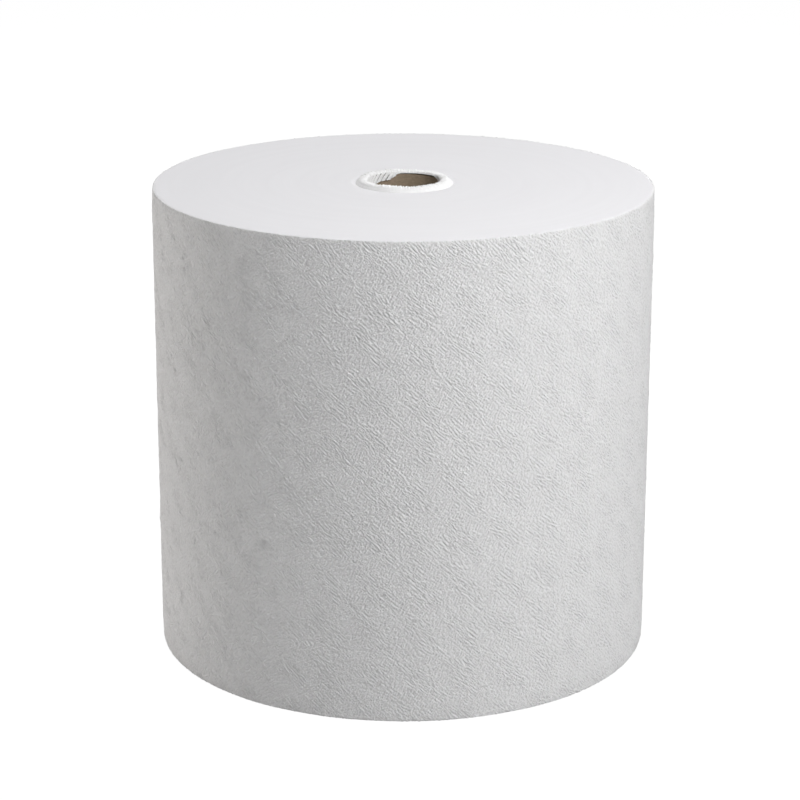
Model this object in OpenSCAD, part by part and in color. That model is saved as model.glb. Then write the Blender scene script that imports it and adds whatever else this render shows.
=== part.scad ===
/* [Wound roll] */
// Width of the wiper sheet, which is the height of the roll standing on its end
sheet_w = 315; // [200:1:400]
// Outer diameter at the thickest point, over the end of the last turn
roll_d = 333; // [250:1:360]
// Thickness of one turn of the wiper, and so of the step at the tail
ply_t = 0.53; // [0.3:0.01:1]
// Softening of the outer corners, top and bottom
edge_r = 1.4; // [0.8:0.1:4]
// Direction of the tail's edge, on the back, from +X towards +Y
tail_angle = 118; // [0:1:359]

/* [Turns at the end faces] */
// Bundles of turns that show as rings on each end face
bundles = 9; // [6:1:16]
// How far the web wandered sideways while it was wound
wander = 0.4; // [0.1:0.05:1]

/* [Collar of first turns] */
// How far the first turns stand out of the top end, on average
collar_out = 3; // [1:0.1:8]
// Build-up of the first turns, from the tube's wall outwards
collar_build = 4.6; // [3:0.1:10]
// Unevenness of the collar's crest, as a share of its height
crest_wave = 0.13; // [0:0.01:0.3]
// How far the crest leans inwards over the tube's rim
crest_lean = 2.6; // [0:0.1:2.7]
// Width of the crease round the foot of the collar
crease_w = 0.9; // [0.3:0.1:3]
// Depth of that crease
crease_depth = 0.8; // [0.2:0.1:3]

/* [Cardboard tube] */
// Inner diameter of the tube
core_bore_d = 50.8; // [38:0.1:80]
// Wall of the tube
core_wall = 3; // [2:0.1:6]

/* [Hidden] */

core_ri = core_bore_d / 2;
core_ro = core_ri + core_wall;
roll_r = roll_d / 2;
// Radius under the last turn, where the round turns end
wound_r = roll_r - ply_t;
collar_r = core_ro + collar_build;
// The last turn starts with this share of its thickness
lap_start = 0.1;
// Half of the corner's softening is on the round turns and half on the last turn
lap_inset = edge_r / 2;
// The collar leans over the rim but leaves the bore of the tube open
mouth_gap = 0.2;
mouth_r = core_ri + mouth_gap;
// The collar's root reaches this far below its crease, into the wound turns
root_depth = 1;
root = crease_depth + root_depth;
// A cut runs past a face by this much
past = 1;
corner_steps = 3;
side_facets = 160;
collar_facets = 100;

// The web wandered sideways as it was wound, and the outermost bundle carries the roll
function bundle_shift(k) = k == bundles - 1 ? 0 : wander * (1 - cos(137.5 * (k + 1))) / 2;
// The bundles are unequal, because the web wandered at its own pace
function bundle_r(k) = let (
    inner_r = collar_r + crease_w,
    outer_r = wound_r - edge_r,
    t = k / bundles + 0.25 * sin(360 * k / bundles) / bundles)
    inner_r + (outer_r - inner_r) * t;

// Each turn is one sheet wide, so what stands out of the top is missing from the bottom
function end_rings() = [for (k = [0:bundles - 1]) for (j = [0, 1])
    [bundle_r(k + j), bundle_shift(k)]];
function corner() = [for (i = [1:corner_steps])
    let (a = 90 * i / corner_steps)
        [wound_r - edge_r + edge_r * sin(a), edge_r * (1 - cos(a))]];
function bottom_outline() = concat(
    [[core_ri, collar_out], [collar_r, collar_out], [collar_r, bundle_shift(0)]],
    end_rings(),
    corner());
function top_outline() = concat(
    [[core_ri, sheet_w - crease_depth], [collar_r, sheet_w - crease_depth]],
    [for (p = end_rings()) [p[0], sheet_w + p[1]]],
    [for (p = corner()) [p[0], sheet_w - p[1]]]);
function backwards(list) = [for (i = [len(list) - 1:-1:0]) list[i]];

module round_turns() {
    rotate_extrude($fn = side_facets)
        polygon(concat(bottom_outline(), backwards(top_outline())));
}

// The last turn grows from the tail's edge once round the roll and ends on itself in a step
function last_turn_r(t) = wound_r + ply_t * (lap_start + (1 - lap_start) * t);

module last_turn() {
    translate([0, 0, lap_inset])
        rotate([0, 0, tail_angle])
            linear_extrude(sheet_w - 2 * lap_inset)
                polygon([for (i = [0:side_facets])
                    let (t = i / side_facets, a = 360 * t)
                        last_turn_r(t) * [cos(a), sin(a)]]);
}

// The crest is ragged, because each of the first turns stands out a little differently
function crest_height(a) = collar_out * (1 + crest_wave * (
    0.45 * sin(3 * a + 40) + 0.3 * sin(7 * a + 110) + 0.3 * sin(19 * a) + 0.35 * sin(31 * a + 70)));
function crest_sway(a) = collar_out * crest_wave * (0.3 * sin(5 * a + 20) + 0.2 * sin(23 * a));

// Section of the collar, from its root up the outer slope, over the crest and down to the tube's rim
function collar_section(a) = let (
    h = crest_height(a),
    s = crest_sway(a),
    crest_r = core_ro + 0.35 * collar_build - 0.3 * crest_lean,
    lip_r = max(mouth_r, core_ro - crest_lean)) [
        [core_ri - past, -root],
        [collar_r, -root],
        [collar_r, -0.5 * crease_depth],
        [collar_r - 0.2 * collar_build, 0.45 * h],
        [collar_r - 0.42 * collar_build + s, 0.85 * h],
        [crest_r + s, h],
        [lip_r + 0.4 + s, 0.88 * h],
        [lip_r, 0.4 * h],
        [core_ri - past, 0]];

module collar() {
    ring = len(collar_section(0));
    translate([0, 0, sheet_w])
        polyhedron(
            points = [for (i = [0:collar_facets - 1])
                let (a = 360 * i / collar_facets)
                    for (p = collar_section(a)) [p[0] * cos(a), p[0] * sin(a), p[1]]],
            faces = [for (i = [0:collar_facets - 1]) for (j = [0:ring - 1])
                let (i2 = (i + 1) % collar_facets, j2 = (j + 1) % ring,
                    p = i * ring + j, q = i * ring + j2, u = i2 * ring + j2, v = i2 * ring + j)
                    for (f = [[p, q, u], [p, u, v]]) f]);
}

// The whole web is one solid: round turns, the last turn with its tail, and the first turns' collar
module wiper_roll() {
    color([0.93, 0.93, 0.94])
        difference() {
            union() {
                round_turns();
                last_turn();
                collar();
            }
            translate([0, 0, -past])
                cylinder(h = sheet_w + past, r = core_ro, $fn = side_facets);
            cylinder(h = sheet_w + 2 * collar_out, r = mouth_r, $fn = side_facets);
        }
}

module core_tube() {
    color([0.51, 0.45, 0.36])
        difference() {
            cylinder(h = sheet_w, r = core_ro, $fn = side_facets);
            translate([0, 0, -past])
                cylinder(h = sheet_w + 2 * past, r = core_ri, $fn = side_facets);
        }
}

wiper_roll();
core_tube();
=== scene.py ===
import math

import bmesh
import bpy
import numpy as np
from mathutils import Euler, Matrix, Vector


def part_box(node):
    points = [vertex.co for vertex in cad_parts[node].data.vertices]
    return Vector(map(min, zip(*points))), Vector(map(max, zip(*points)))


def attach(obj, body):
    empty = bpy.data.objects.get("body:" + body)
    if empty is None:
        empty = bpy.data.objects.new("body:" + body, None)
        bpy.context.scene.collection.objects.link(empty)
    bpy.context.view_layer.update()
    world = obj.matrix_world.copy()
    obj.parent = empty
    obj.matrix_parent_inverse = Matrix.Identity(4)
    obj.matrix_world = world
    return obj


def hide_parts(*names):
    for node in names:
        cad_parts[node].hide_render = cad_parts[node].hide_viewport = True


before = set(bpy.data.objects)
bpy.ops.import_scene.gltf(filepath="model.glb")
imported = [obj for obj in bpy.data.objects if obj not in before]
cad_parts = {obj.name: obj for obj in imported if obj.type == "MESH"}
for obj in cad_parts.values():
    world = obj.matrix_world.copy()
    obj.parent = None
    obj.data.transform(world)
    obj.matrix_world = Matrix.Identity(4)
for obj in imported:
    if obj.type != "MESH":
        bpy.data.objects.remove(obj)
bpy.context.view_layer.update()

# Sizes in metres. The tube's box gives the width of the web and the outside of the tube.
tube_low, tube_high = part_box("core_tube")
SHEET_W = tube_high.z
TUBE_R = tube_high.x
TUBE_WALL = 0.003
BORE_R = TUBE_R - TUBE_WALL
ROLL_R = 0.1665
PLY = 0.00053
WOUND_R = ROLL_R - PLY
LAP_START = 0.1
COLLAR_BUILD = 0.0046
COLLAR_R = TUBE_R + COLLAR_BUILD
COLLAR_OUT = 0.003
CREASE_W = 0.0009
CREASE_DEPTH = 0.0008
# The first turns were drawn in a little on the left, and so is the edge of the face round them
DRAWN_IN_AT = 185
DRAWN_IN = 0.0016
TAIL_ANGLE = math.radians(118)
FRONT = math.radians(-90)
MM = 0.001


def deselect_all():
    bpy.ops.object.select_all(action="DESELECT")


def read_points(piece):
    points = np.empty(len(piece.data.vertices) * 3, np.float32)
    piece.data.vertices.foreach_get("co", points)
    return points.reshape(-1, 3).astype(float)


def write_points(piece, points):
    piece.data.vertices.foreach_set("co", points.astype(np.float32).ravel())
    piece.data.update()


def polar(radius, angle, height):
    """Points at these cylinder coordinates about the roll's axis."""
    return np.stack([radius * np.cos(angle), radius * np.sin(angle), height], -1)


def on_roll(piece, node, material):
    """The piece stands for this CAD node, rides with it and wears the material."""
    piece.data.materials.clear()
    piece.data.materials.append(material)
    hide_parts(node)
    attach(piece, "root")


class CrepeField:
    """Height of the creped web once round the roll, made by filtering even noise into short ridges."""

    STEP = 0.5 * MM
    SPARE_ROWS = 20
    RIDGE_PITCH = 1.85 * MM
    CRUMPLE_PITCH = 3.2 * MM
    PATCH_SIZE = 22 * MM
    SLACK_PITCH = 26 * MM
    # Ridges fall to the right, so they repeat along a line that climbs to the right
    REPEAT_ANGLE = math.radians(46)
    CELL_ROUND = 28.6 * MM
    CELL_UP = 30.6 * MM
    CELL_PHASE_ROUND = 11 * MM

    def __init__(self, seed):
        self.columns = math.ceil(2 * math.pi * ROLL_R / self.STEP)
        self.rows = math.ceil(SHEET_W / self.STEP) + 2 * self.SPARE_ROWS
        draw = np.random.default_rng(seed)
        round_f = np.fft.fftfreq(self.columns, self.STEP)[None, :]
        up_f = np.fft.fftfreq(self.rows, self.STEP)[:, None]
        pitch_f = np.hypot(round_f, up_f)
        direction = np.arctan2(up_f * np.sign(round_f + 1e-12), np.abs(round_f))
        ridges = self.noise(draw, self.band(pitch_f, 1 / self.RIDGE_PITCH, 0.18) * self.lobe(direction))
        crumple = self.noise(draw, self.band(pitch_f, 1 / self.CRUMPLE_PITCH, 0.35))
        patches = self.noise(draw, np.exp(-((pitch_f * self.PATCH_SIZE) ** 2)))
        slack_up_f = up_f - 1 / self.SLACK_PITCH
        slack = self.noise(draw, np.exp(-((round_f * 60 * MM) ** 2 + (slack_up_f * 30 * MM) ** 2)))
        along = np.arange(self.columns)[None, :] * self.STEP
        up = np.arange(self.rows)[:, None] * self.STEP
        strength = self.cells(along - self.CELL_PHASE_ROUND, up) + 0.3 * patches
        strength = np.clip(strength, 0.2, 1.5)
        self.ridges = ridges * strength
        self.crumple = crumple * (0.6 + 0.4 * patches)
        self.slack = slack

    def band(self, frequency, centre, width):
        """Share of a wave that is kept, falling off by this share of the centre."""
        return np.exp(-(((frequency - centre) / (width * centre)) ** 2) / 2)

    def lobe(self, direction):
        """Most ridges run one way, some cross them, and a few run any way."""
        main = np.exp(-(((direction - self.REPEAT_ANGLE) / math.radians(11)) ** 2) / 2)
        cross = np.exp(-(((direction + self.REPEAT_ANGLE) / math.radians(20)) ** 2) / 2)
        return main + 0.2 * cross + 0.04

    def noise(self, draw, spectrum):
        """Even noise filtered by this spectrum, with a spread of 1."""
        even = np.fft.fft2(draw.standard_normal((self.rows, self.columns)))
        made = np.fft.ifft2(even * np.sqrt(spectrum)).real
        return made / made.std()

    def cells(self, along, up):
        """The embossed lattice, in which the ridges are strong in one part of each cell."""
        a = 2 * math.pi * along / self.CELL_ROUND
        b = 2 * math.pi * up / self.CELL_UP
        return 0.85 + 0.16 * np.cos(a) + 0.14 * np.cos(b) + 0.24 * np.cos(a + b)

    def at(self, layer, along, up):
        """The layer's height between its samples, at these lengths round and up the roll."""
        column = np.asarray(along) / self.STEP
        row = np.clip(np.asarray(up) / self.STEP + self.SPARE_ROWS, 0, self.rows - 2)
        c0 = np.floor(column).astype(int)
        r0 = np.floor(row).astype(int)
        cf = column - c0
        rf = row - r0
        c0 = c0 % self.columns
        c1 = (c0 + 1) % self.columns
        low = layer[r0, c0] * (1 - cf) + layer[r0, c1] * cf
        high = layer[r0 + 1, c0] * (1 - cf) + layer[r0 + 1, c1] * cf
        return low * (1 - rf) + high * rf


crepe = CrepeField(seed=7)


def crepe_height(along, up):
    """Height of the web's face over its mean, in metres."""
    ridges = 0.122 * MM * crepe.at(crepe.ridges, along, up)
    crumple = 0.07 * MM * crepe.at(crepe.crumple, along, up)
    slack = 0.05 * MM * crepe.at(crepe.slack, along, up)
    return ridges + crumple + slack


def last_turn_radius(turn):
    """The last turn grows by one thickness from the tail round to the tail."""
    return WOUND_R + PLY * (LAP_START + (1 - LAP_START) * turn)


# The creping's ridges run down to the right, so the cells of a sheet's mesh lean the same way
TURN_COLUMNS = 720
SHEET_COLUMNS = 213
SHEET_ROWS = 437
ROWS_PER_COLUMN = 2
COLUMN_STEP = 2 * math.pi * ROLL_R / TURN_COLUMNS
ROW_STEP = SHEET_W / SHEET_ROWS
EDGE_LINES = (0.25 * MM, 0.55 * MM, 0.9 * MM)
EDGE_SOFT = 0.45 * MM
EDGE_DROP = 0.3 * MM
DRAW_IN = 0.6 * MM
DRAW_IN_OVER = 16 * MM
BACK_R = WOUND_R - 1.0 * MM


def cut_across(height, **trim):
    """Cuts the flat sheet along its width at this height, and trims one side where asked."""
    bpy.ops.mesh.select_all(action="SELECT")
    bpy.ops.mesh.bisect(plane_co=(0, 0, height), plane_no=(0, 0, 1), threshold=1e-6, **trim)


def flat_sheet(name, columns):
    """A flat sheet, X along the web and Z across it, with cells that lean along the ridges."""
    deselect_all()
    tall_rows = SHEET_ROWS + ROWS_PER_COLUMN * columns
    bpy.ops.mesh.primitive_grid_add(x_subdivisions=columns, y_subdivisions=tall_rows, size=1)
    piece = bpy.context.object
    piece.name = name
    piece.data.name = name
    square = read_points(piece)
    column = np.rint((square[:, 0] + 0.5) * columns)
    row = np.rint((square[:, 1] + 0.5) * tall_rows) - ROWS_PER_COLUMN * column
    write_points(piece, np.stack([column * COLUMN_STEP, column * 0, row * ROW_STEP], -1))
    bpy.ops.object.mode_set(mode="EDIT")
    cut_across(0, clear_inner=True)
    cut_across(SHEET_W, clear_outer=True)
    for line in EDGE_LINES:
        cut_across(line)
        cut_across(SHEET_W - line)
    bpy.ops.mesh.select_all(action="SELECT")
    bpy.ops.mesh.quads_convert_to_tris(quad_method="SHORTEST_DIAGONAL", ngon_method="BEAUTY")
    bpy.ops.object.mode_set(mode="OBJECT")
    return piece


def give_thickness(piece, length):
    """Adds the flat sheet's cut edges and a plain back of long strips, one unit behind its face."""
    mesh = bmesh.new()
    mesh.from_mesh(piece.data)
    rim = [v for v in mesh.verts if v.is_boundary]
    near = 0.1 * ROW_STEP
    low = sorted((v for v in rim if v.co.z < near), key=lambda v: v.co.x)
    high = sorted((v for v in rim if v.co.z > SHEET_W - near), key=lambda v: v.co.x)
    first = sorted((v for v in rim if v.co.x < near), key=lambda v: v.co.z)
    last = sorted((v for v in rim if v.co.x > length - near), key=lambda v: v.co.z)
    back = {v: mesh.verts.new((v.co.x, 1, v.co.z)) for v in rim}
    for run in (low, last, high[::-1], first[::-1]):
        for here, there in zip(run, run[1:]):
            mesh.faces.new((there, here, back[here], back[there]))
    for i in range(1, len(low) - 2):
        mesh.faces.new([back[v] for v in (low[i + 1], low[i], high[i], high[i + 1])])
    mesh.faces.new([back[v] for v in (low[1], *first, high[1])])
    mesh.faces.new([back[v] for v in (high[-2], *reversed(last), low[-2])])
    bmesh.ops.recalc_face_normals(mesh, faces=mesh.faces)
    mesh.to_mesh(piece.data)
    mesh.free()


def map_for_baking(piece, length):
    """The flat sheet as the piece's own map: its face, and strips above for the back and the cut edges."""
    mesh = piece.data
    corner = np.empty(len(mesh.loops), np.int32)
    mesh.loops.foreach_get("vertex_index", corner)
    sides = np.empty(len(mesh.polygons), np.int32)
    mesh.polygons.foreach_get("loop_total", sides)
    facing = np.empty(len(mesh.polygons) * 3, np.float32)
    mesh.polygons.foreach_get("normal", facing)
    facing = np.repeat(facing.reshape(-1, 3), sides, axis=0)
    spot = read_points(piece)[corner]
    across = spot[:, 0] / length
    up = spot[:, 2] / SHEET_W
    behind = spot[:, 1]
    u = across
    v = 0.9 * up
    strips = (
        (facing[:, 1] > 0.5, across, 0.910 + 0.012 * up),
        (facing[:, 2] < -0.5, across, 0.928 + 0.012 * behind),
        (facing[:, 2] > 0.5, across, 0.946 + 0.012 * behind),
        (facing[:, 0] < -0.5, up, 0.964 + 0.012 * behind),
        (facing[:, 0] > 0.5, up, 0.982 + 0.012 * behind),
    )
    for where, strip_u, strip_v in strips:
        u = np.where(where, strip_u, u)
        v = np.where(where, strip_v, v)
    layer = mesh.uv_layers.active
    layer.name = "OFBake"
    layer.data.foreach_set("uv", np.stack([u, v], -1).astype(np.float32).ravel())


def add_sheet(name, first_column, columns):
    """One wiper of the last turn, which begins this many columns round from the tail."""
    length = columns * COLUMN_STEP
    piece = flat_sheet(name, columns)
    give_thickness(piece, length)
    map_for_baking(piece, length)
    flat = read_points(piece)
    turn = (first_column * COLUMN_STEP + flat[:, 0]) / (TURN_COLUMNS * COLUMN_STEP)
    angle = TAIL_ANGLE + 2 * math.pi * turn
    along = ROLL_R * (angle - FRONT)
    z = flat[:, 2]
    is_back = flat[:, 1] > 0.5
    to_edge = np.minimum(z, SHEET_W - z)
    edge = np.clip(1 - to_edge / (1.3 * MM), 0, 1)
    face = crepe_height(along, z)
    thickness = last_turn_radius(turn) - WOUND_R
    soft = np.minimum(EDGE_SOFT, thickness * 0.8 + 0.1 * MM)
    draw_in = DRAW_IN * np.clip(1 - to_edge / DRAW_IN_OVER, 0, 1) ** 2
    frill = 0.18 * MM * edge * crepe.at(crepe.crumple, along * 0.8, z * 0 + 0.1)
    radius = last_turn_radius(turn) - draw_in - soft * edge**2 + face * (1 - 0.3 * edge) + frill
    radius = np.where(is_back, BACK_R, radius)
    side = np.where(z > SHEET_W / 2, 1, -1)
    z = z - side * edge * (EDGE_DROP - face * 0.8 - frill * 0.7 * (side > 0))
    write_points(piece, polar(radius, angle, np.clip(z, 0, None)))
    bpy.context.view_layer.objects.active = piece
    piece.select_set(True)
    bpy.ops.object.shade_smooth_by_angle(angle=math.radians(50))
    return piece


BUNDLES = 9
WANDER = 0.4 * MM


def bundle_radius(k):
    inner = COLLAR_R + CREASE_W
    outer = WOUND_R - 1.4 * MM
    t = k / BUNDLES + 0.25 * math.sin(2 * math.pi * k / BUNDLES) / BUNDLES
    return inner + (outer - inner) * t


def bundle_shift(k):
    if k == BUNDLES - 1:
        return 0.0
    return WANDER * (1 - math.cos(math.radians(137.5 * (k + 1)))) / 2


def end_shift(radius):
    """How far the turns at this radius wandered sideways, stepping softly from bundle to bundle."""
    shift = np.full(np.shape(radius), bundle_shift(0))
    for k in range(1, BUNDLES):
        step = bundle_shift(k) - bundle_shift(k - 1)
        shift = shift + step / (1 + np.exp(-(radius - bundle_radius(k)) / (4.0 * MM)))
    return shift


def spin_ring(name, outline, segments):
    """A closed outline of (radius, height) points, spun once round the roll's axis."""
    deselect_all()
    bpy.ops.mesh.primitive_circle_add(vertices=len(outline), radius=1)
    piece = bpy.context.object
    piece.name = name
    piece.data.name = name
    outline = np.array(outline)
    write_points(piece, np.stack([outline[:, 0], outline[:, 0] * 0, outline[:, 1]], -1))
    turning = piece.modifiers.new("turning", "SCREW")
    turning.axis = "Z"
    turning.steps = segments
    turning.render_steps = segments
    turning.use_merge_vertices = True
    turning.merge_threshold = 0.01 * MM
    bpy.ops.object.modifier_apply(modifier=turning.name)
    bpy.ops.object.mode_set(mode="EDIT")
    bpy.ops.mesh.select_all(action="SELECT")
    bpy.ops.mesh.remove_doubles(threshold=0.01 * MM)
    bpy.ops.mesh.normals_make_consistent(inside=False)
    bpy.ops.object.mode_set(mode="OBJECT")
    return piece


def ring_points(piece):
    """Radius, angle and height of every point."""
    points = read_points(piece)
    return np.hypot(points[:, 0], points[:, 1]), np.arctan2(points[:, 1], points[:, 0]), points[:, 2]


END_POINTS = 70
TURNS_R = WOUND_R - 0.9 * MM
CORNER_IN = 2.4 * MM


def add_wound_turns(name):
    """All the turns under the last one: both end faces, with their rings, and the wall on the tube."""
    radius = np.linspace(COLLAR_R, TURNS_R - CORNER_IN, END_POINTS)
    shift = end_shift(radius)
    crease = np.clip(1 - (radius - COLLAR_R) / CREASE_W, 0, 1)
    swing = np.linspace(0, math.pi / 2, 6)[1:]
    corner_r = TURNS_R - CORNER_IN + CORNER_IN * np.sin(swing)
    corner_drop = EDGE_DROP * 1.2 * (1 - np.cos(swing))
    low = list(zip(radius, shift)) + list(zip(corner_r, corner_drop))
    high = list(zip(radius, SHEET_W + shift - CREASE_DEPTH * crease**2))
    high += list(zip(corner_r, SHEET_W - corner_drop))
    inside = [(TUBE_R, SHEET_W - CREASE_DEPTH), (TUBE_R, COLLAR_OUT), (COLLAR_R, COLLAR_OUT)]
    piece = spin_ring(name, low + high[::-1] + inside, 300)
    radius, angle, z = ring_points(piece)
    sway = 0.05 * MM * np.sin(3 * angle + radius * 90) + 0.04 * MM * np.sin(5 * angle - radius * 160)
    inner_fade = np.clip((radius - COLLAR_R) / (6 * MM), 0, 1)
    outer_fade = np.clip((TURNS_R - CORNER_IN - radius) / (4 * MM), 0, 1)
    on_top = (z > SHEET_W / 2) & (radius > COLLAR_R - 0.1 * MM)
    z = z + sway * inner_fade * outer_fade * on_top
    radius = radius - drawn_in(angle) * on_top * np.clip(1 - (radius - COLLAR_R) / (12 * MM), 0, 1)
    write_points(piece, polar(radius, angle, z))
    smooth_by_angle(piece, 35)
    return piece


def bulge(degrees, centre, half_width):
    """1 at the centre, falling softly to 0 at half a width away."""
    away = np.abs((degrees - centre + 180) % 360 - 180)
    return np.clip(1.6 - 1.6 * (away / half_width) ** 2, 0, 1) ** 1.5


def drawn_in(angle):
    """How far the first turns are drawn in at this angle, in metres."""
    return DRAWN_IN * bulge(np.degrees(angle) % 360, DRAWN_IN_AT, 80)


def smooth_by_angle(piece, degrees):
    deselect_all()
    bpy.context.view_layer.objects.active = piece
    piece.select_set(True)
    bpy.ops.object.shade_smooth_by_angle(angle=math.radians(degrees))


def creping(angle, across):
    """Small uneven waves round the collar, from about -1 to 1."""
    coarse = 0.22 * np.sin(43 * angle + 300 * across) + 0.24 * np.sin(71 * angle - 500 * across + 1.3)
    fine = 0.30 * np.sin(97 * angle + 700 * across + 0.4)
    return coarse + fine + 0.24 * np.sin(113 * angle - 400 * across + 2.1)


COLLAR_SEGMENTS = 800
LIP_R = BORE_R - 0.35 * MM
# How deep the first turn's edge hangs into the tube, in millimetres, at these degrees round the mouth
TURNED_IN_AT = (0, 8, 18, 26, 96, 104, 112, 125, 134, 139, 168, 192, 330, 360)
TURNED_IN = (2.0, 2.0, 1.2, 0.0, 0.0, 1.3, 3.0, 3.2, 3.6, 4.6, 4.8, 0.2, 0.2, 2.0)
# The pleats of the turned-in edge: how many would go round the mouth, and how far they lean
PLEATS = 40
PLEAT_LEAN = 32
# Towards the back the lip stands clear of the tube's rim, by this many millimetres
LIFTED_AT = (28, 36, 62, 94, 101)
LIFTED = (0.0, 1.3, 1.1, 0.7, 0.0)
# There the crest stands more upright too, round this direction
UPRIGHT_AT = 64
UPRIGHT_HALF_WIDTH = 46


def collar_outline():
    """Section of the first turns where they stand out of the top end. Heights are from the end face."""
    c = COLLAR_R
    high = COLLAR_OUT
    slope = [
        (c + 0.2 * MM, -1.6 * MM),
        (c + 0.25 * MM, -0.5 * MM),
        (c - 0.1 * MM, 0.05 * high),
        (c - 0.9 * MM, 0.16 * high),
        (c - 1.6 * MM, 0.34 * high),
        (c - 2.3 * MM, 0.56 * high),
        (c - 3.0 * MM, 0.76 * high),
        (c - 3.7 * MM, 0.90 * high),
        (c - 4.4 * MM, 0.97 * high),
        (c - 5.1 * MM, 1.0 * high),
        (c - 5.8 * MM, 1.0 * high),
        (LIP_R + 1.3 * MM, 0.98 * high),
        (LIP_R + 0.6 * MM, 0.92 * high),
        (LIP_R + 0.15 * MM, 0.8 * high),
    ]
    lip = [(LIP_R, high * share) for share in (0.66, 0.54, 0.43, 0.33, 0.23, 0.14, 0.06, 0.0)]
    tucked = [(BORE_R - 0.04 * MM, 0.0), (BORE_R - 0.04 * MM, 0.04 * MM)]
    tucked += [(TUBE_R - 0.3 * MM, 0.04 * MM), (TUBE_R + 0.05 * MM, 0.04 * MM)]
    foot = [(TUBE_R + 0.05 * MM, -1.6 * MM)]
    return slope + lip + tucked + foot


def add_first_turns(name):
    """The first turns, ragged along their crest, with one stretch pleated and turned down into the tube."""
    piece = spin_ring(name, collar_outline(), COLLAR_SEGMENTS)
    radius, angle, z = ring_points(piece)
    degrees = np.degrees(angle) % 360
    raised = np.clip(z / COLLAR_OUT, 0, 1)
    wave = creping(angle, radius + z)
    ragged = raised**2 * np.clip((COLLAR_R - 2.4 * MM - radius) / (3 * MM), 0.12, 1)
    on_lip = radius < LIP_R + 0.1 * MM
    hangs = radius < BORE_R
    depth = MM * np.interp(degrees, TURNED_IN_AT, TURNED_IN)
    turned_in = np.clip(depth / (3 * MM), 0, 1)
    down = np.clip(1 - z / (0.7 * COLLAR_OUT), 0, 1) * hangs
    crest = 1 + 0.08 * np.sin(3 * angle + 0.7) + 0.06 * np.sin(7 * angle + 1.9)
    height = np.where(z > 0, z * crest, z) + 0.8 * MM * wave * ragged
    upright = bulge(degrees, UPRIGHT_AT, UPRIGHT_HALF_WIDTH)
    height = height * (1 - 0.12 * upright * raised) - down * (depth + 0.2 * MM * (1 + wave))
    lifted = MM * np.interp(degrees, LIFTED_AT, LIFTED, left=0, right=0)
    over_rim = (radius < TUBE_R - 0.2 * MM) & (z < 0.7 * COLLAR_OUT) & (lifted > 0)
    height = np.where(over_rim, np.maximum(height, lifted * (1 + 0.15 * wave)), height)
    lean = upright * (radius < COLLAR_R - 1.2 * MM) * raised**2 * 1.6 * MM
    beside = (angle + PLEAT_LEAN * height) * PLEATS / (2 * math.pi)
    groove = np.exp(-(((beside % 1) - 0.5) / 0.12) ** 2)
    pleat = turned_in * on_lip * (1.3 * MM * (1 - groove) + 0.15 * MM)
    tight = drawn_in(angle) * np.clip((radius - TUBE_R) / (COLLAR_R - TUBE_R), 0, 1)
    shift = 0.5 * MM * creping(angle + 1.1, radius - z) * ragged + lean - pleat - tight
    write_points(piece, polar(radius + shift, angle, SHEET_W + height))
    smooth_by_angle(piece, 70)
    return piece


def add_tube(name):
    """The cardboard tube, with its rims a little worn."""
    worn = 0.25 * MM
    heights = np.linspace(worn, SHEET_W - worn, 16)
    outside = [(TUBE_R, z) for z in heights]
    inside = [(BORE_R, z) for z in heights[::-1]]
    top = [(TUBE_R - worn, SHEET_W), (BORE_R + worn, SHEET_W)]
    bottom = [(BORE_R + worn, 0), (TUBE_R - worn, 0)]
    piece = spin_ring(name, outside + top + inside + bottom, 192)
    smooth_by_angle(piece, 50)
    return piece


class Value:
    """A socket in a node tree. Arithmetic on it adds Math nodes."""

    def __init__(self, shader, socket):
        self.shader = shader
        self.socket = socket

    def math(self, operation, *others, clamp=False):
        inputs = dict(enumerate((self, *others)))
        return self.shader.node("ShaderNodeMath", dict(operation=operation, use_clamp=clamp), inputs)

    def __add__(self, other):
        return self.math("ADD", other)

    def __mul__(self, other):
        return self.math("MULTIPLY", other)

    def __sub__(self, other):
        return self.math("SUBTRACT", other)

    def __truediv__(self, other):
        return self.math("DIVIDE", other)

    def __rsub__(self, other):
        return (self * -1) + other

    __radd__ = __add__
    __rmul__ = __mul__


class Nodes:
    """A node tree being filled, with one method that adds any node."""

    def __init__(self, tree):
        self.tree = tree

    def node(self, kind, settings=None, inputs=None, output=0):
        made = self.tree.nodes.new(kind)
        for name, value in (settings or {}).items():
            setattr(made, name, value)
        for name, value in (inputs or {}).items():
            self.put(made.inputs[name], value)
        return Value(self, made.outputs[output])

    def put(self, socket, value):
        if isinstance(value, Value):
            self.tree.links.new(value.socket, socket)
        else:
            socket.default_value = value


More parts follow.
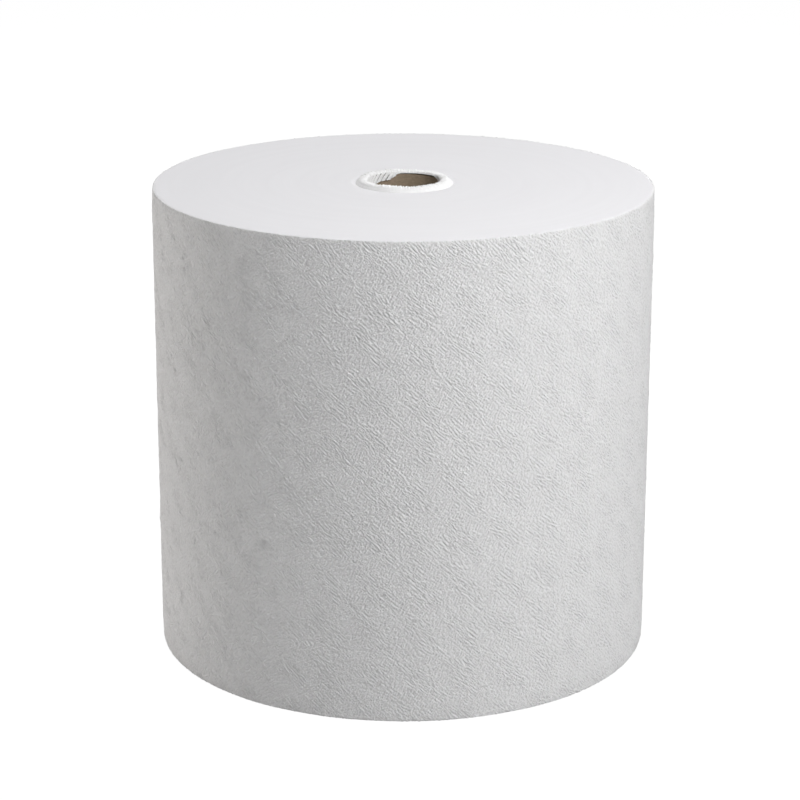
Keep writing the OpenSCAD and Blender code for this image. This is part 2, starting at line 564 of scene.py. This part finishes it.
class Shader(Nodes):
    """A material being built."""

    def __init__(self, name):
        self.material = bpy.data.materials.new(name)
        self.material.use_nodes = True
        super().__init__(self.material.node_tree)
        self.surface = self.tree.nodes["Principled BSDF"]

    def place(self, turned=0.0):
        """X, Y and Z of the spot, with the pattern turned about the roll's axis."""
        spot = self.node("ShaderNodeTexCoord", output="Object")
        turned_spot = self.node("ShaderNodeMapping", inputs={"Vector": spot, "Rotation": (0, 0, turned)})
        parts = self.node("ShaderNodeSeparateXYZ", inputs={0: turned_spot})
        outputs = parts.socket.node.outputs
        return [Value(self, outputs[i]) for i in range(3)]

    def vector(self, x=0.0, y=0.0, z=0.0):
        return self.node("ShaderNodeCombineXYZ", inputs={0: x, 1: y, 2: z})

    def noise(self, vector, scale=1.0, detail=2.0, rough=0.5):
        inputs = {"Vector": vector, "Scale": scale, "Detail": detail, "Roughness": rough}
        return self.node("ShaderNodeTexNoise", dict(noise_dimensions="3D"), inputs)

    def step(self, value, low, high):
        """0 below, 1 above, and a steep flank between."""
        inputs = {"Value": value, "From Min": low, "From Max": high}
        return self.node("ShaderNodeMapRange", dict(interpolation_type="SMOOTHSTEP"), inputs)

    def ramp(self, value, stops):
        made = self.node("ShaderNodeValToRGB", inputs={0: value})
        elements = made.socket.node.color_ramp.elements
        elements[0].position, elements[0].color = stops[0]
        elements[1].position, elements[1].color = stops[-1]
        for position, colour in stops[1:-1]:
            elements.new(position).color = colour
        return made

    def bump(self, height, distance, strength=1.0, normal=None):
        inputs = {"Height": height, "Distance": distance, "Strength": strength}
        if normal is not None:
            inputs["Normal"] = normal
        return self.node("ShaderNodeBump", inputs=inputs)

    def finish(self, **inputs):
        for name, value in inputs.items():
            self.put(self.surface.inputs[name.replace("_", " ")], value)
        return self.material


def roll_coordinates(shader):
    """Distance from the axis and height in millimetres, and the angle, with its join at the tail."""
    x, y, z = shader.place(turned=math.pi - TAIL_ANGLE)
    radius = ((x * x + y * y).math("SQRT")) * (1 / MM)
    angle = y.math("ARCTAN2", x)
    return radius, angle, z * (1 / MM)


# Cosine and sine of the slope of the material's creases, which is that of the mesh's ridges
CREASE_COS = 0.743
CREASE_SIN = 0.669


def creped_wiper():
    """Crinkled wiper. The mesh carries the main ridges, and this adds the crisp creases and the fibres, and
    painted shade that darkens the base colour in the creases.
    """
    shader = Shader("creped wiper")
    radius, angle, up = roll_coordinates(shader)
    along = angle * (ROLL_R / MM)
    down_slope = along * CREASE_COS - up * CREASE_SIN
    up_slope = along * CREASE_SIN + up * CREASE_COS
    bend = (shader.noise(shader.vector(along * 0.09, up * 0.09), detail=2.0, rough=0.6) - 0.5) * 1.3
    strokes = shader.noise(shader.vector(down_slope * 0.31, up_slope * 0.92 + bend), detail=1.0)
    crossing = shader.noise(shader.vector(up_slope * 0.36 + 80, down_slope * 0.92 - bend), detail=1.0)
    crumple = shader.noise(shader.vector(along * 0.75, up * 0.8), detail=2.0, rough=0.55)
    fibres = shader.noise(shader.vector(along * 2.6, up * 2.6, radius), detail=3.0, rough=0.6)
    from_front = along + (TAIL_ANGLE - FRONT - math.pi) * ROLL_R / MM
    a = (from_front - crepe.CELL_PHASE_ROUND / MM) * (2 * math.pi * MM / crepe.CELL_ROUND)
    b = up * (2 * math.pi * MM / crepe.CELL_UP)
    cells = a.math("COSINE") * 0.16 + b.math("COSINE") * 0.14 + (a + b).math("COSINE") * 0.24 + 0.85
    patches = (shader.noise(shader.vector(along * 0.07, up * 0.07, 40), detail=1.0) - 0.5) * 1.6
    bundle = shader.step(cells + patches, 0.55, 1.15)
    ridges = (strokes * 0.57 + shader.step(strokes, 0.43, 0.57) * 0.15) * (bundle + 0.35)
    cross_ridges = (crossing * 0.66 + shader.step(crossing, 0.44, 0.56) * 0.14) * (1.1 - bundle * 0.45)
    height = ridges + cross_ridges + crumple * 0.55 + fibres * 0.2
    normal = shader.bump(height, 1.0 * MM, 1.0)
    mottle = shader.noise(shader.vector(along * 0.07, up * 0.07), detail=2.0)
    tone = shader.ramp(mottle, [(0.3, (0.878, 0.876, 0.880, 1)), (0.7, (0.903, 0.901, 0.905, 1))])
    # Painted shade: the base colour is darkened in the creases of both ridge sets, where shade falls
    # between the fibres.
    crease = (1 - shader.step(strokes, 0.36, 0.5)) * (bundle * 0.6 + 0.4)
    cross_crease_shade = 1 - shader.step(crossing, 0.36, 0.5)
    tone_with_crease_shade = shader.node(
        "ShaderNodeMix",
        dict(data_type="RGBA", blend_type="MULTIPLY"),
        {0: crease * 0.28 + cross_crease_shade * 0.14, 6: tone, 7: (0.6, 0.595, 0.59, 1)},
        output=2,
    )
    roughness = 0.86 + fibres * 0.12
    return shader.finish(Base_Color=tone_with_crease_shade, Roughness=roughness, Normal=normal, Specular_IOR_Level=0.3)


def turn_edges():
    """The end faces: the cut edges of the turns, packed close."""
    shader = Shader("edges of the turns")
    radius, angle, up = roll_coordinates(shader)
    turns = (radius * (2 * math.pi / (PLY / MM)) + angle).math("SINE")
    streaks = shader.noise(shader.vector(radius * 1.1, angle * 2.2), detail=3.0, rough=0.6)
    lint = shader.noise(shader.node("ShaderNodeTexCoord", output="Object"), scale=1400, detail=2.0)
    height = streaks * 0.7 + turns * 0.12 + lint * 0.3
    normal = shader.bump(height, 0.12 * MM, 0.6)
    bands = shader.noise(shader.vector(radius * 0.16, angle * 0.6), detail=2.0)
    tone = shader.ramp(bands, [(0.3, (0.856, 0.850, 0.870, 1)), (0.7, (0.870, 0.864, 0.884, 1))])
    roughness = 0.9 + lint * 0.05
    return shader.finish(Base_Color=tone, Roughness=roughness, Normal=normal, Specular_IOR_Level=0.2)


def collar_wiper():
    """The first turns, crinkled where they stand out, with painted shade along the folds of the turned-in
    stretch.
    """
    shader = Shader("crinkled first turns")
    x, y, z = shader.place()
    radius = (x * x + y * y).math("SQRT")
    angle = y.math("ARCTAN2", x)
    height = z - SHEET_W
    spot = shader.node("ShaderNodeTexCoord", output="Object")
    crinkle = shader.noise(spot, scale=620, detail=3.0, rough=0.6)
    layers = ((radius + height * 0.4) * (2 * math.pi / PLY)).math("SINE")
    lint = shader.noise(spot, scale=1500, detail=2.0)
    normal = shader.bump(crinkle * 0.9 + layers * 0.08 + lint * 0.2, 0.4 * MM, 0.9)
    tone = shader.ramp(crinkle, [(0.25, (0.90, 0.90, 0.902, 1)), (0.7, (0.96, 0.96, 0.96, 1))])
    # Painted shade: narrow dark lines along the pleats' grooves in the turned-in stretch, where shade falls
    # between the folded layers.
    beside = (angle + height * PLEAT_LEAN) * (PLEATS / (2 * math.pi))
    off_fold = (beside.math("FRACT") - 0.5).math("ABSOLUTE")
    fold = shader.ramp(off_fold, [(0.03, (1, 1, 1, 1)), (0.12, (0, 0, 0, 1))])
    start = math.radians(112)
    end = math.radians(178)
    in_stretch = angle.math("GREATER_THAN", start) * angle.math("LESS_THAN", end)
    on_lip = radius.math("LESS_THAN", BORE_R + 0.5 * MM)
    under_crest = height.math("LESS_THAN", 0.6 * COLLAR_OUT)
    painted_fold_shade = fold * in_stretch * on_lip * under_crest * 0.95
    tone_with_fold_shade = shader.node(
        "ShaderNodeMix",
        dict(data_type="RGBA", blend_type="MIX"),
        {0: painted_fold_shade, 6: tone, 7: (0.16, 0.155, 0.15, 1)},
        output=2,
    )
    roughness = 0.88 + lint * 0.08
    return shader.finish(Base_Color=tone_with_fold_shade, Roughness=roughness, Normal=normal, Specular_IOR_Level=0.25)


def core_board():
    """Brown board, wound in a spiral with a butted seam."""
    shader = Shader("core board")
    radius, angle, up = roll_coordinates(shader)
    spot = shader.node("ShaderNodeTexCoord", output="Object")
    seam_pitch = 92
    wrap = (angle * (1 / (2 * math.pi)) + up * (1 / seam_pitch)).math("FRACT")
    off_seam = (wrap - 0.5).math("ABSOLUTE")
    seam = shader.ramp(off_seam, [(0.0, (1, 1, 1, 1)), (0.006, (0, 0, 0, 1))])
    fibres = shader.noise(shader.vector(angle * 9, up * 0.9, radius * 2), detail=4.0, rough=0.65)
    specks = shader.noise(spot, scale=900, detail=2.0)
    tone = shader.ramp(fibres * 0.7 + specks * 0.3, [
        (0.30, (0.225, 0.175, 0.123, 1)),
        (0.55, (0.295, 0.233, 0.167, 1)),
        (0.75, (0.39, 0.313, 0.232, 1)),
    ])
    dark = shader.node(
        "ShaderNodeMix",
        dict(data_type="RGBA", blend_type="MULTIPLY"),
        {0: seam * 0.5, 6: tone, 7: (0.35, 0.33, 0.30, 1)},
        output=2,
    )
    height = fibres * 0.4 + specks * 0.3 - seam
    normal = shader.bump(height, 0.15 * MM, 0.7)
    roughness = 0.88 + specks * 0.08
    return shader.finish(Base_Color=dark, Roughness=roughness, Normal=normal, Specular_IOR_Level=0.3)


def plain_white_rays(nodes):
    """1 for the rays that must meet plain white: the camera's, and those off or through something shiny."""
    outputs = nodes.node("ShaderNodeLightPath").socket.node.outputs
    seen = Value(nodes, outputs["Is Camera Ray"])
    for kind in ("Is Glossy Ray", "Is Transmission Ray"):
        seen = seen.math("MAXIMUM", Value(nodes, outputs[kind]))
    return seen


# The floor glows white to the camera, and the rest of what it shows is lit, so it keeps a shadow
GLOW = 1.11
GLOW_SHARE = 0.88


def studio_floor():
    """White floor that the camera sees as white, with a faint shadow of the roll."""
    deselect_all()
    bpy.ops.mesh.primitive_plane_add(size=9)
    floor = bpy.context.object
    floor.name = "floor"
    shader = Shader("white floor")
    shader.finish(Base_Color=(0.65, 0.65, 0.65, 1), Roughness=1.0, Specular_IOR_Level=0.0)
    glow = shader.node("ShaderNodeEmission", inputs={"Color": (1, 1, 1, 1), "Strength": GLOW})
    surface = Value(shader, shader.surface.outputs[0])
    share = plain_white_rays(shader) * GLOW_SHARE
    mixed = shader.node("ShaderNodeMixShader", inputs={0: share, 1: surface, 2: glow})
    shader.put(shader.tree.nodes["Material Output"].inputs["Surface"], mixed)
    floor.data.materials.append(shader.material)


# Light that comes from all sides
AMBIENT = 0.138


def studio_world():
    world = bpy.data.worlds.new("studio")
    bpy.context.scene.world = world
    world.use_nodes = True
    nodes = Nodes(world.node_tree)
    background = nodes.tree.nodes["Background"]
    background.inputs["Color"].default_value = (1, 1, 1, 1)
    nodes.put(background.inputs["Strength"], plain_white_rays(nodes) * (1 - AMBIENT) + AMBIENT)


def add_softbox(name, azimuth, elevation, distance, wide, high, power, colour=(1, 1, 1)):
    """A lamp of this width and height that faces the roll's middle. Azimuth turns from +X towards +Y."""
    a = math.radians(azimuth)
    e = math.radians(elevation)
    lamp = bpy.data.lights.new(name, "AREA")
    lamp.shape = "RECTANGLE"
    lamp.size = wide
    lamp.size_y = high
    lamp.energy = power
    lamp.color = colour
    box = bpy.data.objects.new(name, lamp)
    bpy.context.scene.collection.objects.link(box)
    box.location = (
        distance * math.cos(e) * math.cos(a),
        distance * math.cos(e) * math.sin(a),
        SHEET_W / 2 + distance * math.sin(e),
    )
    box.rotation_euler = Euler((math.pi / 2 - e, 0, a + math.pi / 2))


def add_camera():
    """The photograph's own viewpoint, fitted to both rims of the roll."""
    camera = bpy.data.cameras.new("camera")
    camera.sensor_width = 36
    camera.lens = 117.06
    holder = bpy.data.objects.new("camera", camera)
    bpy.context.scene.collection.objects.link(holder)
    aim = Euler((math.radians(90 - 17.177), 0, 0.0011)).to_matrix()
    turn = (aim @ Matrix.Rotation(0.0016, 3, "Z")).to_4x4()
    holder.matrix_world = Matrix.Translation((0, -1.69086, 0.68651)) @ turn
    bpy.context.scene.camera = holder


add_camera()
studio_world()
studio_floor()
# The lamps, in watts and metres
add_softbox("key", azimuth=-49, elevation=39, distance=1.5, wide=0.35, high=0.35, power=10.5)
add_softbox(
    "left strip",
    azimuth=160,
    elevation=3,
    distance=2.4,
    wide=1.8,
    high=0.3,
    power=24.5,
    colour=(1, 0.965, 0.93),
)
add_softbox("front fill", azimuth=-90, elevation=40, distance=2.4, wide=1.2, high=1.2, power=6)
add_softbox("overhead", azimuth=-90, elevation=87, distance=2.4, wide=1.6, high=1.6, power=3.5)
add_softbox("back", azimuth=90, elevation=50, distance=2.4, wide=1.2, high=1.2, power=19.9)
add_softbox("right fill", azimuth=-10, elevation=30, distance=2.4, wide=1.2, high=1.2, power=9)
bpy.context.scene.view_settings.view_transform = "Standard"

web = creped_wiper()
for number in range(math.ceil(TURN_COLUMNS / SHEET_COLUMNS)):
    end_column = TURN_COLUMNS - number * SHEET_COLUMNS
    first_column = max(end_column - SHEET_COLUMNS, 0)
    sheet = add_sheet(f"outer_sheet_{number + 1}", first_column, end_column - first_column)
    on_roll(sheet, "wiper_roll", web)

on_roll(add_wound_turns("wound_turns"), "wiper_roll", turn_edges())
on_roll(add_first_turns("first_turns"), "wiper_roll", collar_wiper())
on_roll(add_tube("core_board_tube"), "core_tube", core_board())
